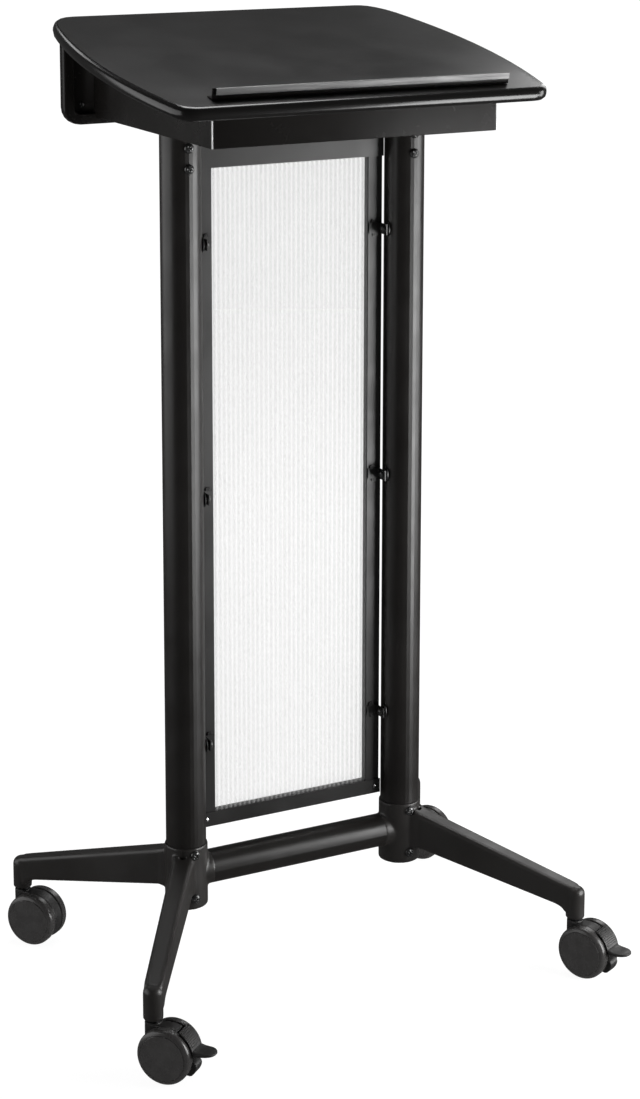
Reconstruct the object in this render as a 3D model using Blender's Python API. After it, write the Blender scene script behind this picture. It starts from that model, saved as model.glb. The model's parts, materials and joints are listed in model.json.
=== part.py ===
"""Presentation lectern on casters.

A sloped board sits on a folded steel tray. Two round posts carry the tray and stand in two cast hubs,
each with two splayed legs. A fluted translucent screen hangs between the posts, and every leg ends in
a twin-wheel caster. The two casters on the speaker's side have a brake lever.

Frame while modelling: X runs left to right for the speaker, +Y points at the audience, Z is up,
and the posts stand at Y = 0. The last step moves the whole object so that the origin is the middle
of its footprint on the floor.
"""

from math import atan, cos, pi, radians, sin, sqrt, tan

import bmesh
import bpy
from mathutils import Matrix, Vector

MM = 0.001
GAP = 0.3 * MM  # between pieces that touch
LEFT, RIGHT = -1, 1

# Board and desk
BOARD_SLOPE = radians(9.62)
BOARD_THICK = 17 * MM
BOARD_EDGE_RADIUS = 7 * MM
BOARD_NEAR_Y = -196 * MM
BOARD_FAR_Y = 219 * MM
BOARD_NEAR_HALF = 237 * MM
BOARD_FAR_HALF = 226 * MM
BOARD_SIDE_BOW = 28 * MM
BOARD_NEAR_CORNER = 22 * MM
BOARD_FAR_CORNER = 30 * MM
BOARD_MID_Z = 1138.5 * MM  # middle of the board's thickness, above the posts
STOP_HALF_LENGTH = 192 * MM
STOP_Y = -175.5 * MM
STOP_HEIGHT = 14.3 * MM
SHEET = 2 * MM
TRAY_HALF_WIDTH = 185.5 * MM
TRAY_NEAR_Y = -158.6 * MM
TRAY_FAR_Y = 177 * MM
TRAY_BOTTOM_Z = 1062 * MM
REAR_HALF_WIDTH = 224 * MM
REAR_BOTTOM_Z = 1053 * MM
REAR_THICK = 15 * MM
REAR_RIM = 13 * MM
REAR_POCKET_DEPTH = 10 * MM
REAR_SCREW_X = 198 * MM
REAR_SCREW_Z = 1077 * MM

# Posts, hubs and legs
POST_X = 151.5 * MM
POST_RADIUS = 24.8 * MM
POST_WALL = 2 * MM
POST_TOP_Z = 1095 * MM
PLUG_BOTTOM_Z = 1000 * MM
HUB_RADIUS = 26.6 * MM
HUB_BOTTOM_Z = 100.4 * MM
HUB_TOP_Z = 180.4 * MM
HUB_FLOOR = 5 * MM
CROSSBAR_Z = 141.5 * MM
CROSSBAR_RADIUS = 20.7 * MM
POST_SCREWS_Z = (1020.5 * MM, 1045 * MM)
HUB_SCREWS_Z = (114.7 * MM, 171.2 * MM)
SCREW_HEAD_RADIUS = 6.1 * MM
SCREW_HEAD_HEIGHT = 3.6 * MM
SCREW_SHANK_RADIUS = 2.9 * MM
CASTER_X = 289 * MM
CASTER_Y = 204.4 * MM
SOCKET_RADIUS = 11.8 * MM
SOCKET_BOTTOM_Z = 69.7 * MM
SOCKET_TOP_Z = 110 * MM
SOCKET_HOLE_TOP_Z = 97 * MM
LEG_TOP_Z = 177 * MM  # of the leg's upper edge, carried back to the hub's axis
LEG_TOP_FALL = 0.269
LEG_BOTTOM_Z = 126.5 * MM
LEG_BOTTOM_FALL = 0.186
LEG_HALF_WIDTHS = (13.2 * MM, 11.6 * MM)

# Screen
SCREEN_Y = 9.8 * MM  # speaker's face of the rails
RAIL_THICK = 10 * MM
RAIL_INNER_X = 106.5 * MM
RAIL_OUTER_X = 126 * MM
RAIL_BOTTOM_Z = 191.6 * MM
RAIL_TOP_Z = 1051.6 * MM
BOTTOM_BAR_HEIGHT = 18.4 * MM
TOP_BAR_HEIGHT = 38.9 * MM
BAR_WALL = 1.4 * MM
BAR_HALF_LENGTH = 127.2 * MM
SCREEN_BOTTOM_Z = 189.2 * MM
SCREEN_TOP_Z = 1054 * MM
PANEL_THICK = 6 * MM
PANEL_HALF_WIDTH = 114.3 * MM
PANEL_WALL = 0.7 * MM
FLUTE_COUNT = 36
RIVET_X = 119.5 * MM
CLIP_HEIGHTS = (302 * MM, 614 * MM, 926 * MM)
CLIP_HALF_HEIGHT = 6.5 * MM
CLIP_SHEET = 1.5 * MM
CLIP_SCREW_Y = -4 * MM

# Casters
WHEEL_RADIUS = 33.2 * MM
WHEEL_INNER = 9.2 * MM  # from the caster's middle to the wheel's inner face
WHEEL_OUTER = 22 * MM
TRAIL = 20.5 * MM
AXLE_RADIUS = 3 * MM
STEM_RADIUS = 5.2 * MM
NECK_RADIUS = 10 * MM
NECK_TOP_Z = 66.9 * MM
HOOD_HALF = 8.5 * MM
HOOD_RADIUS = 32.2 * MM
BRAKE_RECESS_RADIUS = 24 * MM
SHELL_INNER = 34.6 * MM  # of the brake lever, over the wheels' treads
SHELL_OUTER = 36.2 * MM
LEVER_HALF = 12.5 * MM
BRAKE_PIVOT_ANGLE = radians(58)
BRAKE_PIVOT_RADIUS = 27 * MM
CASTERS = {  # side, toward the audience or the speaker, heading of the axle at rest, brake
    "audience_left": (LEFT, 1, radians(37), False),
    "speaker_left": (LEFT, -1, radians(40), True),
    "speaker_right": (RIGHT, -1, radians(26), True),
    "audience_right": (RIGHT, 1, radians(31), False),
}

NODES = []


# ---------------------------------------------------------------- materials


def make_material(name, colour, roughness, metallic=0.0, alpha=1.0):
    material = bpy.data.materials.new(name)
    material.use_nodes = True
    shader = material.node_tree.nodes["Principled BSDF"]
    shader.inputs["Base Color"].default_value = (*colour, 1.0)
    shader.inputs["Roughness"].default_value = roughness
    shader.inputs["Metallic"].default_value = metallic
    shader.inputs["Alpha"].default_value = alpha
    return material


# ---------------------------------------------------------------- mesh tools


def lathe(profile, segments, closed=False):
    """A profile of (radius, height) turned round Z. A closed profile is a ring's section."""
    mesh = bmesh.new()
    rings = []
    for radius, height in profile:
        if radius == 0:
            rings.append([mesh.verts.new((0, 0, height))])
            continue
        angles = [2 * pi * i / segments for i in range(segments)]
        rings.append([mesh.verts.new((radius * cos(a), radius * sin(a), height)) for a in angles])
    pairs = list(zip(rings, rings[1:]))
    if closed:
        pairs.append((rings[-1], rings[0]))
    for lower, upper in pairs:
        for i in range(segments):
            j = (i + 1) % segments
            below = (lower[i % len(lower)], lower[j % len(lower)])
            above = (upper[j % len(upper)], upper[i % len(upper)])
            mesh.faces.new(dict.fromkeys(below + above))
    return mesh


def cylinder(radius, low, high, segments=32):
    return lathe([(0, low), (radius, low), (radius, high), (0, high)], segments)


def prism(outline, low, high, axis="Z"):
    """A flat outline, in the other two axes in order, pulled from low to high along one axis."""
    place = {
        "X": lambda a, b, c: (c, a, b),
        "Y": lambda a, b, c: (a, c, b),
        "Z": lambda a, b, c: (a, b, c),
    }[axis]
    mesh = bmesh.new()
    bottom = [mesh.verts.new(place(a, b, low)) for a, b in outline]
    top = [mesh.verts.new(place(a, b, high)) for a, b in outline]
    mesh.faces.new(bottom)
    mesh.faces.new(top)
    for i in range(len(outline)):
        j = (i + 1) % len(outline)
        mesh.faces.new((bottom[i], bottom[j], top[j], top[i]))
    return mesh


def block(low, high):
    corners = [(low[0], low[1]), (high[0], low[1]), (high[0], high[1]), (low[0], high[1])]
    return prism(corners, low[2], high[2])


def loft(sections):
    """Closed sections with the same number of points, joined in order and capped at both ends."""
    mesh = bmesh.new()
    rings = [[mesh.verts.new(point) for point in section] for section in sections]
    mesh.faces.new(rings[0])
    mesh.faces.new(rings[-1])
    for lower, upper in zip(rings, rings[1:]):
        for i in range(len(lower)):
            j = (i + 1) % len(lower)
            mesh.faces.new((lower[i], lower[j], upper[j], upper[i]))
    return mesh


def arc(centre, radius, start, end, steps):
    """Points on an arc, both ends included. Angles are in radians."""
    angles = [start + (end - start) * i / steps for i in range(steps + 1)]
    return [(centre[0] + radius * cos(a), centre[1] + radius * sin(a)) for a in angles]


def rounded_rectangle(low, high, radii, steps=4):
    """Radii are those of the corners at low, at high X, at high, and at low X. Zero is a sharp corner."""
    corners = [(low[0], low[1]), (high[0], low[1]), (high[0], high[1]), (low[0], high[1])]
    outline = []
    for i, ((x, y), radius) in enumerate(zip(corners, radii)):
        if radius == 0:
            outline.append((x, y))
            continue
        centre = (x + (radius if x == low[0] else -radius), y + (radius if y == low[1] else -radius))
        outline += arc(centre, radius, pi + i * pi / 2, 1.5 * pi + i * pi / 2, steps)
    return outline


def turned(mesh, matrix):
    bmesh.ops.transform(mesh, matrix=matrix, verts=mesh.verts)
    return mesh


ALONG_X = Matrix.Rotation(pi / 2, 4, "Y")
ALONG_Y = Matrix.Rotation(-pi / 2, 4, "X")


# ---------------------------------------------------------------- objects


def add_object(name, mesh, material=None, parent=None, location=(0, 0, 0), smooth=None):
    """A mesh object. Smooth is the angle above which an edge stays sharp."""
    bmesh.ops.recalc_face_normals(mesh, faces=mesh.faces)
    data = bpy.data.meshes.new(name)
    mesh.to_mesh(data)
    mesh.free()
    if smooth:
        data.shade_smooth()
        data.set_sharp_from_angle(angle=radians(smooth))
    return place_mesh(name, data, material, parent, location)


def place_mesh(name, data, material, parent, location=(0, 0, 0), turn=0.0):
    """An object on a mesh that other objects may share, turned about Z."""
    obj = bpy.data.objects.new(name, data)
    bpy.context.scene.collection.objects.link(obj)
    obj.parent = parent
    obj.location = location
    obj.rotation_euler.z = turn
    if material:
        if not data.materials:
            data.materials.append(material)
        NODES.append(obj)
    return obj


def shape(obj, mesh, operation):
    """Cuts a mesh from an object, or joins it on. The mesh stays as a hidden helper."""
    helper = add_object(f"{obj.name}_{operation.lower()}_{len(obj.modifiers)}", mesh, parent=obj.parent)
    helper.location = obj.location
    helper.hide_render = True
    helper.display_type = "WIRE"
    modifier = obj.modifiers.new(helper.name, "BOOLEAN")
    modifier.operation = operation
    modifier.solver = "EXACT"
    modifier.object = helper


def cut(obj, mesh):
    shape(obj, mesh, "DIFFERENCE")


def join(obj, mesh):
    shape(obj, mesh, "UNION")


def bevel(obj, width, segments, angle=40):
    modifier = obj.modifiers.new("Bevel", "BEVEL")
    modifier.width = width
    modifier.segments = segments
    modifier.limit_method = "ANGLE"
    modifier.angle_limit = radians(angle)


def add_empty(name, location, turn=0.0, parent=None):
    empty = bpy.data.objects.new(name, None)
    bpy.context.scene.collection.objects.link(empty)
    empty.empty_display_size = 0.02
    empty.parent = parent
    empty.location = location
    empty.rotation_euler.z = turn
    return empty


# ---------------------------------------------------------------- desk


def slope_z(y, offset):
    """Height at y of the plane that lies this far below the board's middle, square to the board."""
    return BOARD_MID_Z + y * tan(BOARD_SLOPE) - offset / cos(BOARD_SLOPE)


def board_side(steps):
    """The right side's bowed edge between its corner roundings, from the speaker's end."""
    points = []
    for i in range(steps + 1):
        t = i / steps
        x = BOARD_NEAR_HALF + (BOARD_FAR_HALF - BOARD_NEAR_HALF) * t + BOARD_SIDE_BOW * 4 * t * (1 - t)
        points.append((x, BOARD_NEAR_Y + (BOARD_FAR_Y - BOARD_NEAR_Y) * t))
    return points


def soft_corner(before, corner, after, steps=5):
    """A rounding that leaves one edge at before and meets the next at after."""
    points = []
    for i in range(steps + 1):
        t = i / steps
        weights = ((1 - t) ** 2, 2 * t * (1 - t), t**2)
        points.append(tuple(sum(w * p[k] for w, p in zip(weights, (before, corner, after))) for k in (0, 1)))
    return points


def board_outline():
    side = board_side(18)
    near, far = side[0], side[-1]
    middle = [p for p in side if BOARD_NEAR_Y + BOARD_NEAR_CORNER < p[1] < BOARD_FAR_Y - BOARD_FAR_CORNER]
    right = soft_corner((near[0] - BOARD_NEAR_CORNER, near[1]), near, middle[0])[:-1]
    right += middle
    right += soft_corner(middle[-1], far, (far[0] - BOARD_FAR_CORNER, far[1]))[1:]
    left = [(-x, y) for x, y in reversed(right)]
    return right + left


def make_board(materials, root):
    """The outline is drawn in plan, then stretched along the slope and tilted."""
    outline = [(x, y / cos(BOARD_SLOPE)) for x, y in board_outline()]
    mesh = prism(outline, -BOARD_THICK / 2, BOARD_THICK / 2)
    board = add_object("top_board", mesh, materials["laminate"], root, (0, 0, BOARD_MID_Z), smooth=50)
    board.rotation_euler.x = BOARD_SLOPE
    bevel(board, BOARD_EDGE_RADIUS, 3, angle=60)


def make_paper_stop(materials, root):
    """A foot on the board, a recessed web and a lip with a light front face."""
    foot, lip_low, web_back = 1.6 * MM, 6 * MM, 5.2 * MM
    section = [
        (3.2 * MM, 0),
        (16 * MM, 0),
        (16 * MM, foot),
        (web_back, foot),
        (web_back, STOP_HEIGHT - 1.2 * MM),
        (web_back - 1 * MM, STOP_HEIGHT),
        (0.8 * MM, STOP_HEIGHT),
        (0, STOP_HEIGHT - 0.8 * MM),
        (0, lip_low),
        (3.2 * MM, lip_low),
    ]
    mesh = prism(section, -STOP_HALF_LENGTH, STOP_HALF_LENGTH, axis="X")
    lift = BOARD_THICK / 2 + GAP
    spot = (0, STOP_Y, slope_z(STOP_Y, -lift))
    stop = add_object("paper_stop", mesh, materials["stop"], root, spot)
    stop.rotation_euler.x = BOARD_SLOPE


def tray_profile(inset, far_y, corner):
    """The tray's side, seen along X: level below, sloped above, with a rounded rear lower corner."""
    top = BOARD_THICK / 2 + GAP + inset
    near_y = TRAY_NEAR_Y + inset
    low = TRAY_BOTTOM_Z - inset * 10
    foot = arc((far_y - corner, low + corner), corner, -pi / 2, 0, 4) if corner else [(far_y, low)]
    return [(near_y, low), *foot, (far_y, slope_z(far_y, top)), (near_y, slope_z(near_y, top))]


def make_tray(materials, root):
    """A folded pan under the board, open below and behind."""
    outer = prism(tray_profile(0, TRAY_FAR_Y, 9 * MM), -TRAY_HALF_WIDTH, TRAY_HALF_WIDTH, axis="X")
    upright = [edge for edge in outer.edges if all(abs(v.co.y - TRAY_NEAR_Y) < 1e-6 for v in edge.verts)]
    upright = [edge for edge in upright if abs(edge.verts[0].co.z - edge.verts[1].co.z) > SHEET]
    bmesh.ops.bevel(outer, geom=upright, offset=2.5 * MM, segments=3, affect="EDGES", profile=0.5)
    tray = add_object("desk_tray", outer, materials["tray"], root, smooth=40)
    inner_half = TRAY_HALF_WIDTH - SHEET
    cut(tray, prism(tray_profile(SHEET, TRAY_FAR_Y + 20 * MM, 0), -inner_half, inner_half, axis="X"))


def make_rear_panel(materials, root):
    """A dished panel behind the tray. Its thick rounded rim frames a pocket that faces the speaker."""
    near_y = TRAY_FAR_Y + GAP
    top_z = slope_z(near_y, BOARD_THICK / 2 + GAP)
    corner = 22 * MM
    low, high = (-REAR_HALF_WIDTH, REAR_BOTTOM_Z), (REAR_HALF_WIDTH, top_z)
    outline = rounded_rectangle(low, high, (corner, corner, 3 * MM, 3 * MM), 5)
    mesh = prism(outline, near_y, near_y + REAR_THICK, "Y")
    panel = add_object("rear_panel", mesh, materials["tray"], root, smooth=40)
    bevel(panel, 5 * MM, 3, angle=60)
    low = (low[0] + REAR_RIM, low[1] + REAR_RIM)
    high = (high[0] - REAR_RIM, high[1] - REAR_RIM)
    pocket = rounded_rectangle(low, high, (9 * MM,) * 4, 3)
    cut(panel, prism(pocket, near_y - 5 * MM, near_y + REAR_POCKET_DEPTH, "Y"))
    floor_y = near_y + REAR_POCKET_DEPTH
    for side, word in ((LEFT, "left"), (RIGHT, "right")):
        spot = (side * REAR_SCREW_X, floor_y, REAR_SCREW_Z)
        add_object(f"rear_panel_screw_{word}", pan_screw(), materials["screw"], root, spot, smooth=40)
        hole = cylinder(1.8 * MM, -5 * MM, 2.6 * MM, 10)
        cut(panel, turned(hole, Matrix.Translation(spot) @ ALONG_Y))


def pan_screw():
    """A small pan head on a short shank, head toward the speaker."""
    profile = [
        (0, -2.4 * MM),
        (2.4 * MM, -2.2 * MM),
        (3.8 * MM, -0.9 * MM),
        (3.8 * MM, -GAP),
        (1.4 * MM, -GAP),
        (1.4 * MM, 2.2 * MM),
        (0, 2.2 * MM),
    ]
    return turned(lathe(profile, 12), ALONG_Y)


def make_brackets(materials, root):
    """Each post's top plug and the sloped plate that bolts under the tray."""
    upper = BOARD_THICK / 2 + 2 * GAP + SHEET
    lower = upper + 4 * MM
    half = 42 * MM
    for side, word in ((LEFT, "left"), (RIGHT, "right")):
        x = side * POST_X
        plug_radius = POST_RADIUS - POST_WALL - GAP
        mesh = cylinder(plug_radius, PLUG_BOTTOM_Z, slope_z(0, lower) + 2 * MM, 28)
        turned(mesh, Matrix.Translation((x, 0, 0)))
        for vert in mesh.verts:
            if vert.co.z > POST_TOP_Z:
                vert.co.z = slope_z(vert.co.y, lower - 1 * MM)
        bracket = add_object(f"post_bracket_{word}", mesh, materials["bracket"], root, smooth=40)
        corners = ((-half, lower), (half, lower), (half, upper), (-half, upper))
        section = [(y, slope_z(y, offset)) for y, offset in corners]
        reach = TRAY_HALF_WIDTH - SHEET - 1 * MM - POST_X
        inner, outer = sorted((x - side * 40 * MM, x + side * reach))
        join(bracket, prism(section, inner, outer, axis="X"))
        for z in POST_SCREWS_Z:
            cut(bracket, screw_hole(x, z, -10 * MM))


# ---------------------------------------------------------------- posts and base


def screw_hole(x, z, depth_y):
    hole = cylinder(SCREW_SHANK_RADIUS + 0.4 * MM, -40 * MM, depth_y, 12)
    return turned(hole, Matrix.Translation((x, 0, z)) @ ALONG_Y)


def button_screw(head_y, tip_y):
    """A button-head socket screw along Y, head toward the speaker."""
    face = head_y - SCREW_HEAD_HEIGHT
    profile = [
        (0, face + 2 * MM),
        (2.2 * MM, face + 1.6 * MM),
        (2.5 * MM, face),
        (4.2 * MM, face + 0.6 * MM),
        (5.6 * MM, face + 1.8 * MM),
        (SCREW_HEAD_RADIUS, head_y - 0.5 * MM),
        (SCREW_HEAD_RADIUS, head_y),
        (SCREW_SHANK_RADIUS, head_y),
        (SCREW_SHANK_RADIUS, tip_y),
        (0, tip_y),
    ]
    return turned(lathe(profile, 12), ALONG_Y)


def make_post(side, word, materials, root):
    low = HUB_BOTTOM_Z + HUB_FLOOR + GAP
    inner = POST_RADIUS - POST_WALL
    section = [(inner, low), (POST_RADIUS, low), (POST_RADIUS, POST_TOP_Z), (inner, POST_TOP_Z)]
    post = add_object(f"post_{word}", lathe(section, 32, closed=True), materials["post"], root, smooth=40)
    post.location.x = side * POST_X
    for z in POST_SCREWS_Z + HUB_SCREWS_Z:
        cut(post, screw_hole(0, z, -10 * MM))


def make_post_screws(side, word, materials, root):
    head_at = {POST_SCREWS_Z: -POST_RADIUS - GAP, HUB_SCREWS_Z: -HUB_RADIUS - GAP}
    names = {POST_SCREWS_Z: "post_top_screw", HUB_SCREWS_Z: "hub_screw"}
    for heights, head_y in head_at.items():
        mesh = button_screw(head_y, head_y + 11 * MM)
        first = add_object(f"{names[heights]}_{word}_lower", mesh, materials["screw"], root, smooth=35)
        first.location = (side * POST_X, 0, heights[0])
        spot = (side * POST_X, 0, heights[1])
        place_mesh(f"{names[heights]}_{word}_upper", first.data, materials["screw"], root, spot)


def leg_section(distance, half_width, top, bottom, radius):
    """A rounded rectangle across a leg that runs along local X."""
    low, high = (-half_width, bottom), (half_width, top)
    return [(distance, y, z) for y, z in rounded_rectangle(low, high, (radius,) * 4, 2)]


def leg_mesh(side, toward):
    """One leg in the hub's frame. It flares into the hub, tapers outward and drops round the socket."""
    run = Vector((side * (CASTER_X - POST_X), toward * CASTER_Y))
    length = run.length
    wide, narrow = LEG_HALF_WIDTHS
    sections = []
    steps = ((0, 4.5), (22, 4.5), (30, 1.6), (42, 0), (120, 0), (200, 0), (length / MM - 24, 0))
    for distance, flare in steps:
        s = distance * MM
        half = wide + (narrow - wide) * s / length + flare * MM * 0.7
        top = LEG_TOP_Z - LEG_TOP_FALL * s + flare * MM * 0.5
        bottom = LEG_BOTTOM_Z - LEG_BOTTOM_FALL * s - flare * MM * 0.5
        sections.append(leg_section(s, half, top, bottom, 5 * MM))
    for back, drop in ((15, 1.5), (10, 5)):
        s = length - back * MM
        top = LEG_TOP_Z - LEG_TOP_FALL * s
        bottom = LEG_BOTTOM_Z - LEG_BOTTOM_FALL * s - drop * MM
        sections.append(leg_section(s, narrow, top, bottom, 5 * MM))
    top = LEG_TOP_Z - LEG_TOP_FALL * length
    sections.append(leg_section(length, narrow - 1 * MM, top, SOCKET_BOTTOM_Z + 6 * MM, 5 * MM))
    return turned(loft(sections), Matrix.Rotation(run.angle_signed(Vector((1, 0))), 4, "Z"))


def socket_mesh(side, toward):
    profile = [
        (0, SOCKET_BOTTOM_Z),
        (SOCKET_RADIUS - 1 * MM, SOCKET_BOTTOM_Z),
        (SOCKET_RADIUS, SOCKET_BOTTOM_Z + 1.2 * MM),
        (SOCKET_RADIUS, SOCKET_TOP_Z - 6 * MM),
        (SOCKET_RADIUS - 2 * MM, SOCKET_TOP_Z - 2 * MM),
        (SOCKET_RADIUS - 5.5 * MM, SOCKET_TOP_Z),
        (0, SOCKET_TOP_Z),
    ]
    spot = Matrix.Translation((side * (CASTER_X - POST_X), toward * CASTER_Y, 0))
    return turned(lathe(profile, 20), spot)


def make_base(side, word, materials, root):
    """One casting: the hub that holds the post, two splayed legs and the casters' sockets."""
    rim = 1 * MM
    profile = [
        (0, HUB_BOTTOM_Z),
        (HUB_RADIUS - rim, HUB_BOTTOM_Z),
        (HUB_RADIUS, HUB_BOTTOM_Z + rim),
        (HUB_RADIUS, HUB_TOP_Z - rim),
        (HUB_RADIUS - rim, HUB_TOP_Z),
        (0, HUB_TOP_Z),
    ]
    base = add_object(f"base_casting_{word}", lathe(profile, 36), materials["casting"], root, smooth=40)
    base.location.x = side * POST_X
    for toward in (-1, 1):
        join(base, leg_mesh(side, toward))
        join(base, socket_mesh(side, toward))
    cut(base, cylinder(POST_RADIUS + GAP, HUB_BOTTOM_Z + HUB_FLOOR, HUB_TOP_Z + 10 * MM, 36))
    cut(base, cylinder(16 * MM, HUB_BOTTOM_Z - 5 * MM, HUB_TOP_Z, 24))
    for z in HUB_SCREWS_Z:
        cut(base, screw_hole(0, z, -10 * MM))
        seat = cylinder(SCREW_HEAD_RADIUS + 0.6 * MM, -HUB_RADIUS - 20 * MM, -HUB_RADIUS - GAP / 2, 16)
        cut(base, turned(seat, Matrix.Translation((0, 0, z)) @ ALONG_Y))
    for toward in (-1, 1):
        hole = cylinder(STEM_RADIUS + 0.4 * MM, SOCKET_BOTTOM_Z - 5 * MM, SOCKET_HOLE_TOP_Z, 12)
        cut(base, turned(hole, Matrix.Translation((side * (CASTER_X - POST_X), toward * CASTER_Y, 0))))


def make_crossbar(materials, root):
    """A tube between the hubs, its ends coped to fit their round sides."""
    outer, inner = CROSSBAR_RADIUS, CROSSBAR_RADIUS - 2 * MM
    section = [(inner, -POST_X), (outer, -POST_X), (outer, POST_X), (inner, POST_X)]
    mesh = turned(lathe(section, 28, closed=True), ALONG_X)
    bar = add_object("crossbar", mesh, materials["post"], root, (0, 0, CROSSBAR_Z), smooth=40)
    for side in (LEFT, RIGHT):
        coping = cylinder(HUB_RADIUS + GAP, -60 * MM, 60 * MM, 32)
        cut(bar, turned(coping, Matrix.Translation((side * POST_X, 0, 0))))


# ---------------------------------------------------------------- screen


def make_rails(materials, root):
    """Upright channels whose grooves hold the panel's edges."""
    back = SCREEN_Y + RAIL_THICK
    groove_x = PANEL_HALF_WIDTH + 0.8 * MM
    lip = (RAIL_THICK - PANEL_THICK) / 2 - GAP
    section = [
        (RAIL_INNER_X, SCREEN_Y),
        (RAIL_OUTER_X, SCREEN_Y),
        (RAIL_OUTER_X, back),
        (RAIL_INNER_X, back),
        (RAIL_INNER_X, back - lip),
        (groove_x, back - lip),
        (groove_x, SCREEN_Y + lip),
        (RAIL_INNER_X, SCREEN_Y + lip),
    ]
    for side, word in ((LEFT, "left"), (RIGHT, "right")):
        outline = [(side * x, y) for x, y in section]
        channel = prism(outline, RAIL_BOTTOM_Z, RAIL_TOP_Z)
        rail = add_object(f"screen_rail_{word}", channel, materials["frame"], root)
        for z in rivet_heights():
            cut(rail, rivet_hole(side * RIVET_X, z))


def rivet_heights():
    return (SCREEN_BOTTOM_Z + BOTTOM_BAR_HEIGHT / 2, SCREEN_TOP_Z - 9 * MM)


def rivet_hole(x, z):
    hole = cylinder(1.9 * MM, SCREEN_Y - 8 * MM, SCREEN_Y + RAIL_THICK + 8 * MM, 10)
    return turned(hole, Matrix.Translation((x, 0, z)) @ ALONG_Y)


def make_bars(materials, root):
    """Channels that wrap over the rails' and the panel's ends, at the bottom and the top."""
    inner_near, inner_far = SCREEN_Y - GAP, SCREEN_Y + RAIL_THICK + GAP
    near, far = inner_near - BAR_WALL, inner_far + BAR_WALL
    ends = (("bottom", SCREEN_BOTTOM_Z, BOTTOM_BAR_HEIGHT, 1), ("top", SCREEN_TOP_Z, TOP_BAR_HEIGHT, -1))
    for (word, edge, height, inward), z in zip(ends, rivet_heights()):
        lip, web = edge + inward * height, edge + inward * 2 * MM
        section = [
            (near, edge),
            (far, edge),
            (far, lip),
            (inner_far, lip),
            (inner_far, web),
            (inner_near, web),
            (inner_near, lip),
            (near, lip),
        ]
        mesh = prism(section, -BAR_HALF_LENGTH, BAR_HALF_LENGTH, axis="X")
        bar = add_object(f"screen_bar_{word}", mesh, materials["frame"], root)
        for side, side_word in ((LEFT, "left"), (RIGHT, "right")):
            cut(bar, rivet_hole(side * RIVET_X, z))
            spot = (side * RIVET_X, near - GAP, z)
            add_object(f"screen_rivet_{word}_{side_word}", rivet(), materials["rivet"], root, spot, smooth=40)


def rivet():
    """A domed head toward the speaker on a shank through the bar and the rail."""
    profile = [
        (0, -1.3 * MM),
        (1.8 * MM, -1.0 * MM),
        (3 * MM, -0.2 * MM),
        (3 * MM, 0),
        (1.5 * MM, 0),
        (1.5 * MM, 13 * MM),
        (0, 13 * MM),
    ]
    return turned(lathe(profile, 12), ALONG_Y)


def make_panel(materials, root):
    """A twin-wall sheet: two skins joined by upright ribs, with open flutes between."""
    middle = SCREEN_Y + RAIL_THICK / 2
    near, far = middle - PANEL_THICK / 2, middle + PANEL_THICK / 2
    low, high = SCREEN_BOTTOM_Z + 2.6 * MM, SCREEN_TOP_Z - 2.6 * MM
    sheet = block((-PANEL_HALF_WIDTH, near, low), (PANEL_HALF_WIDTH, far, high))
    panel = add_object("screen_panel", sheet, materials["panel"], root)
    pitch = 2 * PANEL_HALF_WIDTH / FLUTE_COUNT
    flutes = bmesh.new()
    for i in range(FLUTE_COUNT):
        left = -PANEL_HALF_WIDTH + i * pitch + PANEL_WALL / 2
        corners = [
            (left, near + PANEL_WALL),
            (left + pitch - PANEL_WALL, near + PANEL_WALL),
            (left + pitch - PANEL_WALL, far - PANEL_WALL),
            (left, far - PANEL_WALL),
        ]
        piece = prism(corners, low - 5 * MM, high + 5 * MM)
        data = bpy.data.meshes.new("flute")
        piece.to_mesh(data)
        piece.free()
        flutes.from_mesh(data)
        bpy.data.meshes.remove(data)
    cut(panel, flutes)


def make_clips(materials, root):
    """An angle on the rail's face, and a screw through its ear that clamps a spacer to the post."""
    face_near, face_far = SCREEN_Y - GAP - CLIP_SHEET, SCREEN_Y - GAP
    ear_x = 121 * MM
    ear_near = CLIP_SCREW_Y - 6.5 * MM
    post_side = POST_X - sqrt(POST_RADIUS**2 - (CLIP_SCREW_Y + 5 * MM) ** 2) - GAP
    for side, word in ((LEFT, "left"), (RIGHT, "right")):
        angle = [
            (107.5 * MM, face_near),
            (ear_x, face_near),
            (ear_x, ear_near),
            (ear_x + CLIP_SHEET, ear_near),
            (ear_x + CLIP_SHEET, face_far),
            (107.5 * MM, face_far),
        ]
        outline = [(side * x, y) for x, y in angle]
        for z, level in zip(CLIP_HEIGHTS, ("lower", "middle", "upper")):
            mesh = prism(outline, z - CLIP_HALF_HEIGHT, z + CLIP_HALF_HEIGHT)
            clip = add_object(f"screen_clip_{word}_{level}", mesh, materials["clip"], root, smooth=40)
            profile = [
                (0, 117.6 * MM),
                (3.6 * MM, 117.6 * MM),
                (5 * MM, 118.8 * MM),
                (5 * MM, ear_x + 0.5 * MM),
                (4.2 * MM, ear_x + 0.5 * MM),
                (4.2 * MM, 124.5 * MM),
                (6 * MM, 125.2 * MM),
                (6 * MM, post_side),
                (0, post_side),
            ]
            across = Matrix.Diagonal((1, 1, side, 1))
            mesh = turned(turned(lathe(profile, 14), across), ALONG_X)
            join(clip, turned(mesh, Matrix.Translation((0, CLIP_SCREW_Y, z))))


# ---------------------------------------------------------------- casters


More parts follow.
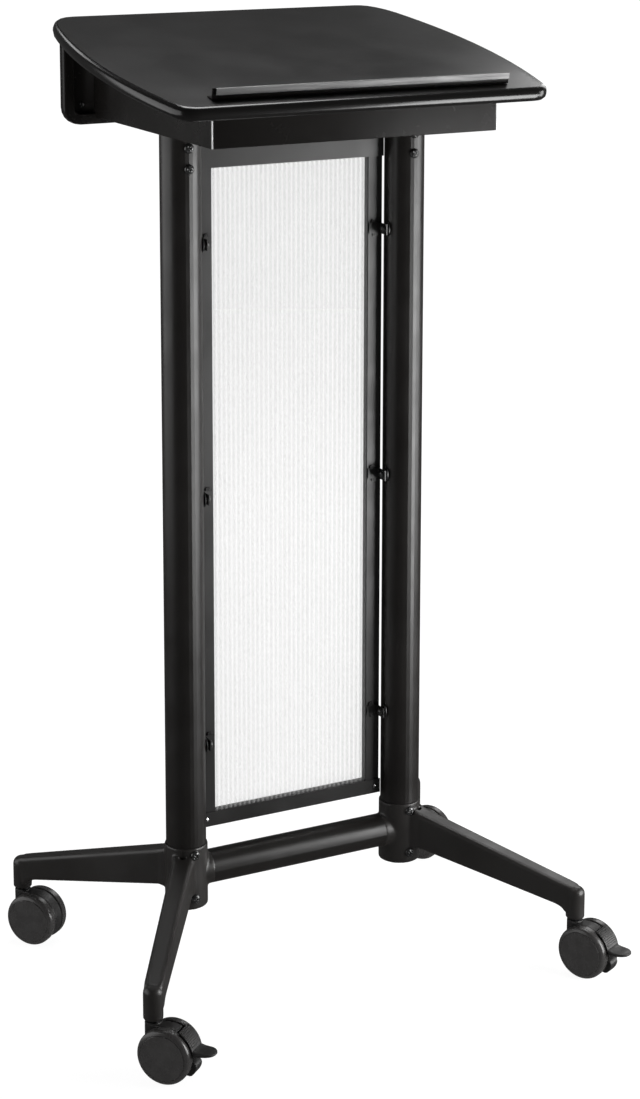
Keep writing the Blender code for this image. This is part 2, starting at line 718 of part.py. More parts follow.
def wheel_mesh():
    """A wheel on Z: blind bore toward the caster's middle, a flat outer disc and a rounded rim."""
    bore, bore_end = AXLE_RADIUS + GAP, WHEEL_OUTER - 3.5 * MM
    rim, shoulder = 6.5 * MM, WHEEL_OUTER - 6.5 * MM
    profile = [(0, bore_end), (bore, bore_end), (bore, WHEEL_INNER), (WHEEL_RADIUS - 1.5 * MM, WHEEL_INNER)]
    profile.append((WHEEL_RADIUS, WHEEL_INNER + 1.5 * MM))
    profile += arc((WHEEL_RADIUS - rim, shoulder), rim, 0, pi / 2, 3)
    profile.append((0, WHEEL_OUTER))
    return lathe(profile, 24)


def hub_point(angle, radius):
    """A point of the caster's side view, from the axle."""
    return (TRAIL + radius * cos(angle), WHEEL_RADIUS + radius * sin(angle))


def hood_outline(brake):
    """The hood's side view: neck, roof and rear cover or, braked, a recess for the lever and a tail."""
    axle = (TRAIL, WHEEL_RADIUS)
    inner = 19 * MM if brake else 27.6 * MM
    end = radians(-42 if brake else -38)
    outline = [(0, WHEEL_RADIUS + HOOD_RADIUS)]
    if brake:
        outline += arc(axle, HOOD_RADIUS, pi / 2, radians(64), 3)
        outline += arc(axle, BRAKE_RECESS_RADIUS, radians(64), radians(-3), 6)
        tail = ((-5, 30), (-9, 36), (-15, 38.6), (-25, 38.8), (-34, 38), (-40, 35))
        outline += [hub_point(radians(angle), radius * MM) for angle, radius in tail]
    else:
        outline += arc(axle, HOOD_RADIUS, pi / 2, end, 10)
    outline += arc(axle, inner, end, radians(96), 9)
    outline.append((0, 48 * MM))
    return outline


def web_outline(brake):
    radius = (19.5 if brake else 28) * MM
    outline = arc((TRAIL, WHEEL_RADIUS), radius, radians(-36), radians(100), 7)
    outline += [(2 * MM, 60 * MM), (-4 * MM, 52 * MM), (-2 * MM, 42 * MM)]
    outline += [hub_point(radians(200), 8 * MM), hub_point(radians(262), 8 * MM)]
    return outline


def neck_mesh():
    """A round neck with flats that clear the wheels."""
    flat = HOOD_HALF - 0.1 * MM
    side = sqrt(NECK_RADIUS**2 - flat**2)
    start = atan(flat / side)
    outline = arc((0, 0), NECK_RADIUS, pi - start, pi + start, 4) + arc((0, 0), NECK_RADIUS, -start, start, 4)
    return prism(outline, 46 * MM, NECK_TOP_Z)


def make_hood(name, brake, materials, swivel):
    mesh = prism(hood_outline(brake), -HOOD_HALF, HOOD_HALF, axis="Y")
    hood = add_object(f"{name}_hood", mesh, materials["hood"], swivel, smooth=40)
    join(hood, prism(web_outline(brake), -2.5 * MM, 2.5 * MM, axis="Y"))
    boss = turned(cylinder(7 * MM, -HOOD_HALF + 0.2 * MM, HOOD_HALF - 0.2 * MM, 14), ALONG_Y)
    join(hood, turned(boss, Matrix.Translation((TRAIL, 0, WHEEL_RADIUS))))
    join(hood, neck_mesh())
    cut(hood, cylinder(STEM_RADIUS + 0.4 * MM, 50 * MM, NECK_TOP_Z + 5 * MM, 12))
    hole = turned(cylinder(AXLE_RADIUS + GAP, -20 * MM, 20 * MM, 10), ALONG_Y)
    cut(hood, turned(hole, Matrix.Translation((TRAIL, 0, WHEEL_RADIUS))))


def stem_mesh():
    """A pin in the leg's socket and the hood's neck, with a collar between them."""
    collar = NECK_RADIUS - 0.6 * MM
    low, high = NECK_TOP_Z + 0.5 * MM, SOCKET_BOTTOM_Z - 0.4 * MM
    profile = [
        (0, 50.6 * MM),
        (STEM_RADIUS, 50.6 * MM),
        (STEM_RADIUS, low),
        (collar, low),
        (collar, high),
        (STEM_RADIUS, high),
        (STEM_RADIUS, SOCKET_HOLE_TOP_Z - 1 * MM),
        (0, SOCKET_HOLE_TOP_Z - 1 * MM),
    ]
    return lathe(profile, 12)


def lever_meshes():
    """The brake lever from its pivot: a shell over the wheels, its core between them and a paddle."""
    axle = (TRAIL, WHEEL_RADIUS)
    shell = arc(axle, SHELL_OUTER, radians(60), radians(4), 8)
    shell += arc(axle, SHELL_INNER, radians(4), radians(60), 8)
    core = arc(axle, SHELL_INNER + 0.7 * MM, radians(59.5), radians(5), 7)
    core += arc(axle, 28.4 * MM, radians(5), radians(59.5), 7)
    back, tip = TRAIL + 34.3 * MM, TRAIL + 58.8 * MM
    half, corner = LEVER_HALF - 0.3 * MM, 9 * MM
    paddle = [(back, -half)]
    paddle += arc((tip - corner, -half + corner), corner, -pi / 2, 0, 4)
    paddle += arc((tip - corner, half - corner), corner, 0, pi / 2, 4)
    paddle.append((back, half))
    x, z = hub_point(BRAKE_PIVOT_ANGLE, BRAKE_PIVOT_RADIUS)
    meshes = (
        prism(shell, -LEVER_HALF, LEVER_HALF, axis="Y"),
        prism(core, -HOOD_HALF, HOOD_HALF, axis="Y"),
        prism(paddle, WHEEL_RADIUS + 5.2 * MM, WHEEL_RADIUS + 10 * MM),
    )
    return [turned(mesh, Matrix.Translation((-x, 0, -z))) for mesh in meshes]


def make_casters(materials, root):
    wheel = None
    for name, (side, toward, heading, brake) in CASTERS.items():
        name = f"caster_{name}"
        spot = (side * CASTER_X, toward * CASTER_Y, 0)
        add_object(f"{name}_stem", stem_mesh(), materials["steel"], root, spot, smooth=40)
        swivel = add_empty(f"{name}_swivel", spot, heading - pi / 2, root)
        make_hood(name, brake, materials, swivel)
        centre = (TRAIL, 0, WHEEL_RADIUS)
        pin = turned(cylinder(AXLE_RADIUS, -WHEEL_OUTER + 4.2 * MM, WHEEL_OUTER - 4.2 * MM, 10), ALONG_Y)
        add_object(f"{name}_axle", pin, materials["steel"], swivel, centre, smooth=40)
        for word, facing in (("outer", -1), ("inner", 1)):
            axle = add_empty(f"{name}_wheel_{word}_axis", centre, parent=swivel)
            axle.rotation_euler.x = -facing * pi / 2
            if wheel is None:
                first = add_object(f"{name}_wheel_{word}", wheel_mesh(), materials["wheel"], axle, smooth=30)
                wheel = first.data
            else:
                place_mesh(f"{name}_wheel_{word}", wheel, materials["wheel"], axle)
        if brake:
            x, z = hub_point(BRAKE_PIVOT_ANGLE, BRAKE_PIVOT_RADIUS)
            shell, core, paddle = lever_meshes()
            lever = add_object(f"{name}_brake_lever", shell, materials["lever"], swivel, (x, 0, z), smooth=30)
            join(lever, core)
            join(lever, paddle)


# ---------------------------------------------------------------- assembly


def stand_on_origin(root):
    """Moves the object so that the middle of its footprint is the origin."""
    bpy.context.view_layer.update()
    graph = bpy.context.evaluated_depsgraph_get()
    points = []
    for obj in NODES:
        evaluated = obj.evaluated_get(graph)
        points += [evaluated.matrix_world @ vert.co for vert in evaluated.to_mesh().vertices]
        evaluated.to_mesh_clear()
    for axis in (0, 1):
        values = [point[axis] for point in points]
        root.location[axis] = -(min(values) + max(values)) / 2


def main():
    for obj in list(bpy.data.objects):
        bpy.data.objects.remove(obj)
    materials = {
        "laminate": make_material("black_laminate", (0.016, 0.015, 0.015), 0.42),
        "stop": make_material("grey_stop", (0.12, 0.12, 0.125), 0.35, 0.6),
        "tray": make_material("black_sheet", (0.02, 0.019, 0.019), 0.45),
        "bracket": make_material("black_bracket", (0.025, 0.025, 0.025), 0.5),
        "post": make_material("black_post", (0.02, 0.02, 0.021), 0.4),
        "casting": make_material("black_casting", (0.022, 0.022, 0.023), 0.45),
        "frame": make_material("black_frame", (0.03, 0.03, 0.031), 0.42),
        "panel": make_material("white_polycarbonate", (0.93, 0.94, 0.95), 0.3, alpha=0.75),
        "clip": make_material("black_clip", (0.015, 0.015, 0.015), 0.4),
        "screw": make_material("black_screw", (0.03, 0.03, 0.032), 0.25, 0.9),
        "rivet": make_material("bright_rivet", (0.8, 0.8, 0.8), 0.25, 1.0),
        "steel": make_material("steel_pin", (0.06, 0.06, 0.062), 0.35, 1.0),
        "hood": make_material("black_nylon", (0.018, 0.018, 0.019), 0.55),
        "wheel": make_material("wheel_nylon", (0.014, 0.014, 0.015), 0.32),
        "lever": make_material("lever_nylon", (0.02, 0.02, 0.021), 0.5),
    }
    root = add_empty("lectern", (0, 0, 0))
    make_board(materials, root)
    make_paper_stop(materials, root)
    make_tray(materials, root)
    make_rear_panel(materials, root)
    make_brackets(materials, root)
    for side, word in ((LEFT, "left"), (RIGHT, "right")):
        make_post(side, word, materials, root)
        make_post_screws(side, word, materials, root)
        make_base(side, word, materials, root)
    make_crossbar(materials, root)
    make_rails(materials, root)
    make_bars(materials, root)
    make_panel(materials, root)
    make_clips(materials, root)
    make_casters(materials, root)
    stand_on_origin(root)


main()
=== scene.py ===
"""Looks for the presentation lectern: procedural finishes, the fine parts of the casters, screws and
clamps, and a plain studio.

Pieces are modelled in the lectern's own frame, with the posts at Y = 0 and the middle at X = 0, then
moved to where the CAD posts stand. Lengths are in millimetres until a mesh is made.
"""

import json
import re
from math import atan, atan2, cos, pi, radians, sin, sqrt

import bmesh
import bpy
from mathutils import Matrix, Vector


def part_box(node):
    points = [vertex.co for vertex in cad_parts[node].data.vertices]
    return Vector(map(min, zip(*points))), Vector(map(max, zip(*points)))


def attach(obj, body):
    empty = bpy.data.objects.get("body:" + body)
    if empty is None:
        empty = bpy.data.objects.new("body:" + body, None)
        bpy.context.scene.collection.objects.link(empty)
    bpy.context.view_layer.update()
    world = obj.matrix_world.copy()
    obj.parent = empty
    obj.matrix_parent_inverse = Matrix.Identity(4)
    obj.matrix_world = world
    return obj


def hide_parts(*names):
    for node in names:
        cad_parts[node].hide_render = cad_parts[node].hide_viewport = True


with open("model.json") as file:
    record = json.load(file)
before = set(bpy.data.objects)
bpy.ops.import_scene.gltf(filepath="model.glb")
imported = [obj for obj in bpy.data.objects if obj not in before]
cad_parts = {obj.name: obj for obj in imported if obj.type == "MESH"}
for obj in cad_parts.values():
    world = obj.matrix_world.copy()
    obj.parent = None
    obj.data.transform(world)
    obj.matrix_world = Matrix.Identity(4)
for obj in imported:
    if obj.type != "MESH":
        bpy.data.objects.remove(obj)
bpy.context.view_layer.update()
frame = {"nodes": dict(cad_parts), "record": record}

NODES = frame["nodes"]
MM = 0.001
FLUTE_PITCH = 0.00635
FLUTES_BEFORE_MIDDLE = 18
LEFT, RIGHT = -1, 1
SIDES = ((LEFT, "left"), (RIGHT, "right"))


def middle(node):
    low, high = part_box(node)
    return (Vector(low) + Vector(high)) / 2


HOME = (middle("post_left") + middle("post_right")) / 2
HOME.z = 0


# ---------------------------------------------------------------- camera


def add_camera():
    yaw, pitch, roll = radians(27.95), radians(-10.56), radians(0.09)
    forward = Vector((sin(yaw) * cos(pitch), cos(yaw) * cos(pitch), sin(pitch)))
    data = bpy.data.cameras.new("camera")
    data.sensor_width = 36
    data.lens = 82.74
    data.shift_y = -0.25
    data.clip_end = 50
    camera = bpy.data.objects.new("camera", data)
    bpy.context.scene.collection.objects.link(camera)
    camera.location = Vector((-1383.5, -2672.4, 1439.6)) * MM + HOME
    aim = forward.to_track_quat("-Z", "Y").to_matrix().to_4x4()
    camera.matrix_world = Matrix.Translation(camera.location) @ aim @ Matrix.Rotation(roll, 4, "Z")
    bpy.context.scene.camera = camera


# ---------------------------------------------------------------- finishes


class Finish:
    """A node material on object coordinates: one Principled shader fed by noises."""

    def __init__(self, name, roughness=0.45, metallic=0.0, specular=0.5, coat=0.0):
        self.material = bpy.data.materials.new(name)
        self.material.use_nodes = True
        self.tree = self.material.node_tree
        self.shader = self.tree.nodes["Principled BSDF"]
        self.place = self.tree.nodes.new("ShaderNodeTexCoord").outputs["Object"]
        self.height = None
        self.set("Metallic", metallic)
        self.set("Roughness", roughness)
        self.set("Specular IOR Level", specular)
        self.set("Coat Weight", coat)

    def set(self, socket, value):
        self.shader.inputs[socket].default_value = value

    def link(self, source, target):
        self.tree.links.new(source, target)

    def stretched(self, scale):
        mapping = self.tree.nodes.new("ShaderNodeMapping")
        mapping.inputs["Scale"].default_value = scale
        self.link(self.place, mapping.inputs["Vector"])
        return mapping.outputs["Vector"]

    def noise(self, scale, detail=3.0, stretch=(1, 1, 1), rough=0.55):
        noise = self.tree.nodes.new("ShaderNodeTexNoise")
        noise.inputs["Scale"].default_value = scale
        noise.inputs["Detail"].default_value = detail
        noise.inputs["Roughness"].default_value = rough
        self.link(self.stretched(stretch), noise.inputs["Vector"])
        return noise.outputs["Fac"]

    def ramp(self, factor, low, high, start=0.35, end=0.65):
        """A factor between start and end becomes a value, or a colour, between low and high."""
        ramp = self.tree.nodes.new("ShaderNodeValToRGB")
        stops = ramp.color_ramp.elements
        for stop, position, value in zip(stops, (start, end), (low, high)):
            stop.position = position
            stop.color = (*value, 1) if isinstance(value, tuple) else (value, value, value, 1)
        self.link(factor, ramp.inputs["Fac"])
        return ramp.outputs["Color"]

    def maths(self, operation, value, other):
        node = self.tree.nodes.new("ShaderNodeMath")
        node.operation = operation
        self.link(value, node.inputs[0])
        node.inputs[1].default_value = other
        return node.outputs["Value"]

    def colour(self, factor, low, high, start=0.35, end=0.65):
        self.link(self.ramp(factor, low, high, start, end), self.shader.inputs["Base Color"])

    def gloss(self, factor, low, high, start=0.35, end=0.65):
        self.link(self.ramp(factor, low, high, start, end), self.shader.inputs["Roughness"])

    def bump(self, factor, strength, depth):
        """Adds a relief of that depth, in metres. Each call stands on the one before."""
        bump = self.tree.nodes.new("ShaderNodeBump")
        bump.inputs["Strength"].default_value = strength
        bump.inputs["Distance"].default_value = depth
        self.link(factor, bump.inputs["Height"])
        if self.height:
            self.link(self.height, bump.inputs["Normal"])
        self.height = bump.outputs["Normal"]
        self.link(self.height, self.shader.inputs["Normal"])


def powder_coat(name, dark, light, rough=(0.3, 0.4), specular=0.5):
    finish = Finish(name, specular=specular)
    finish.colour(finish.noise(7, 4), dark, light)
    finish.gloss(finish.noise(22, 4), *rough)
    finish.bump(finish.noise(900, 2), 0.1, 0.0002)
    return finish


def moulded(name, dark, light, rough=(0.34, 0.5), grain=0.25):
    finish = Finish(name, specular=0.5)
    finish.colour(finish.noise(60, 5), dark, light)
    finish.gloss(finish.noise(130, 3), *rough)
    finish.bump(finish.noise(1500, 2), grain, 0.00015)
    return finish


def laminate(name):
    """Black laminate: a fine pebble and faint rubbed patches on top, a glossier band round the rim."""
    finish = Finish(name, specular=0.5)
    finish.colour(finish.noise(5, 6), (0.0055, 0.0052, 0.005), (0.0085, 0.008, 0.0078))
    tree = finish.tree
    normal = tree.nodes.new("ShaderNodeTexCoord").outputs["Normal"]
    parts = tree.nodes.new("ShaderNodeSeparateXYZ")
    finish.link(normal, parts.inputs["Vector"])
    top = finish.ramp(parts.outputs["Z"], 0.0, 1.0, 0.93, 0.975)
    rubbed = finish.ramp(finish.noise(9, 6), 0.31, 0.38)
    mix = tree.nodes.new("ShaderNodeMix")
    mix.inputs["A"].default_value = 0.2
    finish.link(top, mix.inputs["Factor"])
    finish.link(rubbed, mix.inputs["B"])
    finish.link(mix.outputs["Result"], finish.shader.inputs["Roughness"])
    finish.bump(finish.noise(1100, 3), 0.08, 0.00015)
    return finish


def bare_metal(name, dark, light, rough, stretch=(1, 1, 1)):
    finish = Finish(name, metallic=1.0)
    finish.colour(finish.noise(300, 4, stretch), dark, light)
    finish.gloss(finish.noise(500, 3, stretch), *rough)
    finish.bump(finish.noise(900, 2, stretch), 0.08, 0.0001)
    return finish


def fluted_sheet(name):
    """Translucent white sheet, a little cloudy, with upright ribs that let less light through."""
    finish = Finish(name, roughness=0.3)
    tree = finish.tree
    parts = tree.nodes.new("ShaderNodeSeparateXYZ")
    finish.link(finish.place, parts.inputs["Vector"])
    start = finish.maths("SUBTRACT", parts.outputs["X"], HOME.x - FLUTE_PITCH * FLUTES_BEFORE_MIDDLE)
    from_rib = finish.maths("PINGPONG", start, FLUTE_PITCH / 2)
    flute = finish.maths("DIVIDE", from_rib, FLUTE_PITCH / 2)
    cloud = finish.ramp(finish.noise(5, 4, (1, 1, 0.3)), (0.9, 0.9, 0.9), (0.96, 0.96, 0.96))
    rib = finish.ramp(flute, (0.9, 0.9, 0.9), (1, 1, 1), 0.1, 0.3)
    tint = tree.nodes.new("ShaderNodeMix")
    tint.data_type = "RGBA"
    tint.blend_type = "MULTIPLY"
    tint.inputs["Factor"].default_value = 1
    finish.link(cloud, tint.inputs["A"])
    finish.link(rib, tint.inputs["B"])
    finish.link(tint.outputs["Result"], finish.shader.inputs["Base Color"])
    finish.gloss(finish.noise(60, 3, (1, 1, 0.05)), 0.22, 0.38)
    finish.bump(finish.noise(500, 2, (1, 1, 0.02)), 0.1, 0.0002)
    through = tree.nodes.new("ShaderNodeBsdfTranslucent")
    finish.link(tint.outputs["Result"], through.inputs["Color"])
    clear = tree.nodes.new("ShaderNodeBsdfTransparent")
    clear.inputs["Color"].default_value = (0.975, 0.975, 0.975, 1)
    soft = tree.nodes.new("ShaderNodeMixShader")
    soft.inputs["Fac"].default_value = 0.6
    finish.link(finish.shader.outputs["BSDF"], soft.inputs[1])
    finish.link(through.outputs["BSDF"], soft.inputs[2])
    final = tree.nodes.new("ShaderNodeMixShader")
    finish.link(finish.ramp(flute, 0.8, 0.94, 0.1, 0.34), final.inputs["Fac"])
    finish.link(soft.outputs["Shader"], final.inputs[1])
    finish.link(clear.outputs["BSDF"], final.inputs[2])
    finish.link(final.outputs["Shader"], tree.nodes["Material Output"].inputs["Surface"])
    return finish


def grey(value):
    return (value, value, value)


def make_finishes():
    """One finish for each material slot of the record. The blacks lean a little to red."""
    finishes = {
        "black_laminate": laminate("laminate_look"),
        "grey_stop": bare_metal("stop_look", grey(0.12), grey(0.16), (0.38, 0.5), (0.05, 1, 1)),
        "black_sheet": powder_coat(
            "sheet_look", (0.008, 0.0073, 0.0068), (0.012, 0.011, 0.0103), (0.24, 0.28), 0.18
        ),
        "black_bracket": powder_coat("bracket_look", grey(0.012), grey(0.018)),
        "black_post": powder_coat("post_look", (0.0078, 0.0068, 0.0062), (0.0115, 0.0102, 0.0094)),
        "black_casting": powder_coat(
            "casting_look", (0.015, 0.0135, 0.0126), (0.021, 0.0192, 0.018), (0.32, 0.44)
        ),
        "black_frame": powder_coat("frame_look", (0.012, 0.0115, 0.0112), (0.018, 0.0172, 0.0168)),
        "white_polycarbonate": fluted_sheet("sheet_plastic_look"),
        "black_clip": powder_coat("clip_look", grey(0.008), (0.013, 0.0125, 0.012), (0.3, 0.45)),
        "black_screw": powder_coat("screw_look", grey(0.012), grey(0.02), (0.16, 0.28), 0.9),
        "bright_rivet": bare_metal("rivet_look", grey(0.75), grey(0.88), (0.18, 0.3)),
        "steel_pin": bare_metal("pin_look", (0.04, 0.04, 0.041), (0.07, 0.07, 0.071), (0.3, 0.42)),
        "black_nylon": moulded(
            "hood_look", (0.011, 0.0105, 0.0102), (0.017, 0.016, 0.0155), (0.4, 0.52), 0.35
        ),
        "wheel_nylon": moulded(
            "wheel_look", (0.038, 0.0362, 0.0355), (0.047, 0.0452, 0.0443), (0.22, 0.32), 0.08
        ),
        "lever_nylon": moulded(
            "lever_look", (0.012, 0.0115, 0.011), (0.018, 0.017, 0.0165), (0.36, 0.5), 0.3
        ),
    }
    return {slot: finish.material for slot, finish in finishes.items()}


def coat_nodes(finishes):
    for part in frame["record"]["subparts"]:
        mesh = NODES[part["node"]].data
        mesh.materials.clear()
        mesh.materials.append(finishes[part["material_slot"]])


# ---------------------------------------------------------------- mesh tools (millimetres)


def lathe(profile, segments=64):
    mesh = bmesh.new()
    rings = []
    for radius, height in profile:
        count = segments if radius > 0 else 1
        angles = [2 * pi * i / segments for i in range(count)]
        rings.append([mesh.verts.new((radius * cos(a), radius * sin(a), height)) for a in angles])
    for lower, upper in zip(rings, rings[1:]):
        for i in range(segments):
            j = (i + 1) % segments
            corners = [lower[i % len(lower)], lower[j % len(lower)]]
            corners += [upper[j % len(upper)], upper[i % len(upper)]]
            mesh.faces.new(dict.fromkeys(corners))
    return mesh


def cylinder(radius, low, high, segments=48):
    return lathe([(0, low), (radius, low), (radius, high), (0, high)], segments)


def prism(outline, low, high, axis="Z"):
    place = {
        "X": lambda a, b, c: (c, a, b),
        "Y": lambda a, b, c: (a, c, b),
        "Z": lambda a, b, c: (a, b, c),
    }[axis]
    mesh = bmesh.new()
    bottom = [mesh.verts.new(place(a, b, low)) for a, b in outline]
    top = [mesh.verts.new(place(a, b, high)) for a, b in outline]
    mesh.faces.new(bottom)
    mesh.faces.new(top)
    for i in range(len(outline)):
        j = (i + 1) % len(outline)
        mesh.faces.new((bottom[i], bottom[j], top[j], top[i]))
    return mesh


def block(low, high):
    corners = [(low[0], low[1]), (high[0], low[1]), (high[0], high[1]), (low[0], high[1])]
    return prism(corners, low[2], high[2])


def arc(centre, radius, start, end, steps):
    angles = [start + (end - start) * i / steps for i in range(steps + 1)]
    return [(centre[0] + radius * cos(a), centre[1] + radius * sin(a)) for a in angles]


def rounded_section(distance, half_width, top, bottom, radius=5, steps=5):
    low, high = (-half_width, bottom), (half_width, top)
    corners = [(low[0], low[1]), (high[0], low[1]), (high[0], high[1]), (low[0], high[1])]
    points = []
    for i, (y, z) in enumerate(corners):
        centre = (y + (radius if y == low[0] else -radius), z + (radius if z == low[1] else -radius))
        points += arc(centre, radius, pi + i * pi / 2, 1.5 * pi + i * pi / 2, steps)
    return [(distance, y, z) for y, z in points]


def loft(sections):
    """A closed skin over rings of points, flat at both ends."""
    mesh = bmesh.new()
    rings = [[mesh.verts.new(point) for point in section] for section in sections]
    mesh.faces.new(rings[0])
    mesh.faces.new(rings[-1])
    for lower, upper in zip(rings, rings[1:]):
        for i in range(len(lower)):
            j = (i + 1) % len(lower)
            mesh.faces.new((lower[i], lower[j], upper[j], upper[i]))
    return mesh


def gather(meshes):
    """Several closed bmeshes in one."""
    whole = bmesh.new()
    for mesh in meshes:
        bmesh.ops.recalc_face_normals(mesh, faces=mesh.faces)
        data = bpy.data.meshes.new("part")
        mesh.to_mesh(data)
        mesh.free()
        whole.from_mesh(data)
        bpy.data.meshes.remove(data)
    return whole


def turned(mesh, matrix):
    bmesh.ops.transform(mesh, matrix=matrix, verts=mesh.verts)
    return mesh


def at(x, y, z):
    return Matrix.Translation((x, y, z))


ALONG_Y = Matrix.Rotation(-pi / 2, 4, "X")
TO_WORLD = Matrix.Translation(HOME) @ Matrix.Scale(MM, 4)


def piece(name, mesh, material, smooth=40, place=None):
    """A shown object, its mesh brought from the lectern's millimetres to the CAD's metres."""
    if place:
        turned(mesh, place)
    turned(mesh, TO_WORLD)
    bmesh.ops.recalc_face_normals(mesh, faces=mesh.faces)
    data = bpy.data.meshes.new(name)
    mesh.to_mesh(data)
    mesh.free()
    data.shade_smooth()
    data.set_sharp_from_angle(angle=radians(smooth))
    data.materials.append(material)
    obj = bpy.data.objects.new(name, data)
    bpy.context.scene.collection.objects.link(obj)
    return obj


def bevel(obj, width, segments=2, angle=35):
    modifier = obj.modifiers.new("soft_edges", "BEVEL")
    modifier.width = width * MM
    modifier.segments = segments
    modifier.limit_method = "ANGLE"
    modifier.angle_limit = radians(angle)


def settle(obj):
    """Makes the modifiers' result the object's own mesh."""
    graph = bpy.context.evaluated_depsgraph_get()
    graph.update()
    data = bpy.data.meshes.new_from_object(obj.evaluated_get(graph))
    obj.modifiers.clear()
    obj.data = data


def carve(obj, mesh, place=None):
    """Cuts a mesh in lectern millimetres out of a piece."""
    cutter = piece(f"{obj.name}_cutter", mesh, obj.data.materials[0], place=place)
    modifier = obj.modifiers.new("cut", "BOOLEAN")
    modifier.operation = "DIFFERENCE"
    modifier.solver = "EXACT"
    modifier.object = cutter
    settle(obj)
    bpy.data.objects.remove(cutter)


# ---------------------------------------------------------------- carried-over shapes

ROUNDED = (
    (r"top_board|crossbar|post_(left|right)|screen_rivet_.*", 0),
    (r"desk_tray|rear_panel", 0.8),
    (r"post_bracket_.*|screen_rail_.*|screen_bar_.*", 0.5),
    (r"screen_clip_.*", 0.3),
)


def refine(node, width, material):
    """A CAD node's own shape, welded and shaded smooth, its sharp corners rounded by a small width."""
    mesh = bmesh.new()
    mesh.from_mesh(NODES[node].data)
    bmesh.ops.remove_doubles(mesh, verts=mesh.verts, dist=0.002 * MM)
    bmesh.ops.dissolve_limit(mesh, angle_limit=radians(0.3), verts=mesh.verts, edges=mesh.edges)
    obj = piece(f"{node}_look", turned(mesh, TO_WORLD.inverted()), material, 32)
    if width:
        bevel(obj, width, 2, 40)
    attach(obj, "stand")
    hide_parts(node)


def refine_nodes(finishes):
    for part in frame["record"]["subparts"]:
        for names, width in ROUNDED:
            if re.fullmatch(names, part["node"]):
                refine(part["node"], width, finishes[part["material_slot"]])


# ---------------------------------------------------------------- casters

TRAIL = 20.5
AXLE_HOLE, WHEEL_RADIUS, WHEEL_INNER, WHEEL_OUTER = 3.4, 33.2, 9.2, 22
HOOD_HALF, HOOD_RADIUS = 8.3, 32.2
NECK_RADIUS, NECK_LOW, NECK_HIGH = 10, 46, 66.9
SHELL_INNER, SHELL_OUTER, LEVER_HALF = 34.6, 36.2, 12.5
RIBS, RIB_TOP, RIB_STEP = 9, 56, 4
AXLE = (TRAIL, WHEEL_RADIUS)
AT_AXLE = at(TRAIL, 0, WHEEL_RADIUS)

# Each caster's heading as photographed, in degrees, and whether it has a brake.
CASTERS = {
    "audience_left": (37, False),
    "speaker_left": (40, True),
    "speaker_right": (26, True),
    "audience_right": (31, False),
}


def hub_point(angle, radius):
    """A point of the caster's side view, from its axle: degrees and millimetres."""
    return (TRAIL + radius * cos(radians(angle)), WHEEL_RADIUS + radius * sin(radians(angle)))


def wheel_profile():
    """From the inner bore to the middle of the flat outer disc, which a fine groove rings."""
    rim, inner, outer = WHEEL_RADIUS, WHEEL_INNER, WHEEL_OUTER
    profile = [(AXLE_HOLE, inner), (12, inner), (12.6, inner + 1), (28.4, inner + 1), (29, inner)]
    profile += [(rim - 0.8, inner), (rim, inner + 0.8), (rim, inner + 6.6)]
    profile += arc((rim - 5.4, inner + 6.6), 5.4, 0, pi / 2 * 0.86, 8)[1:]
    profile += [(28.2, outer - 0.65), (28, outer - 0.95), (27.7, outer - 0.95), (27.5, outer - 0.4)]
    profile += [(27.1, outer), (0, outer)]
    return profile


def hood_outline(brake):
    """The hood from the side. With a brake it is lower under the lever and ends in a tail."""
    outline = [(-2, 60.5), (0, WHEEL_RADIUS + HOOD_RADIUS)]
    if brake:
        outline += arc(AXLE, HOOD_RADIUS, pi / 2, radians(64), 8)
        outline += arc(AXLE, 24, radians(64), radians(-3), 20)
        tail = ((-5, 30), (-8, 35), (-11, 37.4), (-15, 38.6), (-20, 39))
        tail += ((-27, 38.8), (-34, 38), (-38, 36.4), (-41, 33.6))
        outline += [hub_point(*point) for point in tail]
        outline += arc(AXLE, 20, radians(-42), radians(96), 30)
    else:
        outline += arc(AXLE, HOOD_RADIUS, pi / 2, radians(-38), 40)
        outline += arc(AXLE, 27.6, radians(-38), radians(96), 30)
    outline.append((0, 48))
    return outline


def shell_outline(inner, outer, top, foot):
    top, foot = radians(top), radians(foot)
    return arc(AXLE, outer, top, foot, 22) + arc(AXLE, inner, foot, top, 22)


def paddle_mesh():
    """The lever's thumb rest: a rounded tongue that grows out of the shell's foot."""
    stations = (  # distance from the axle, half width, then top and foot above the axle
        (34.3, 12.2, 11.6, 3.4),
        (36.5, 12.4, 10.7, 3.9),
        (40, 12.4, 9.9, 4.5),
        (46, 12.2, 9.6, 5.2),
        (50, 11.6, 9.7, 5.6),
        (54, 9.6, 9.6, 6),
        (56.8, 6.8, 9.3, 6.3),
        (58.5, 3.4, 8.8, 6.8),
    )
    sections = []
    for distance, half, top, foot in stations:
        radius = min(2, 0.48 * (top - foot))
        top, foot = WHEEL_RADIUS + top, WHEEL_RADIUS + foot
        sections.append(rounded_section(TRAIL + distance, half, top, foot, radius))
    return loft(sections)


def make_wheel(name, word, facing, place, material):
    spot = place @ AT_AXLE @ Matrix.Rotation(-facing * pi / 2, 4, "X")
    obj = piece(f"{name}_wheel_{word}_look", lathe(wheel_profile(), 80), material, 32, spot)
    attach(obj, f"{name}_wheel_{word}")
    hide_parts(f"{name}_wheel_{word}")


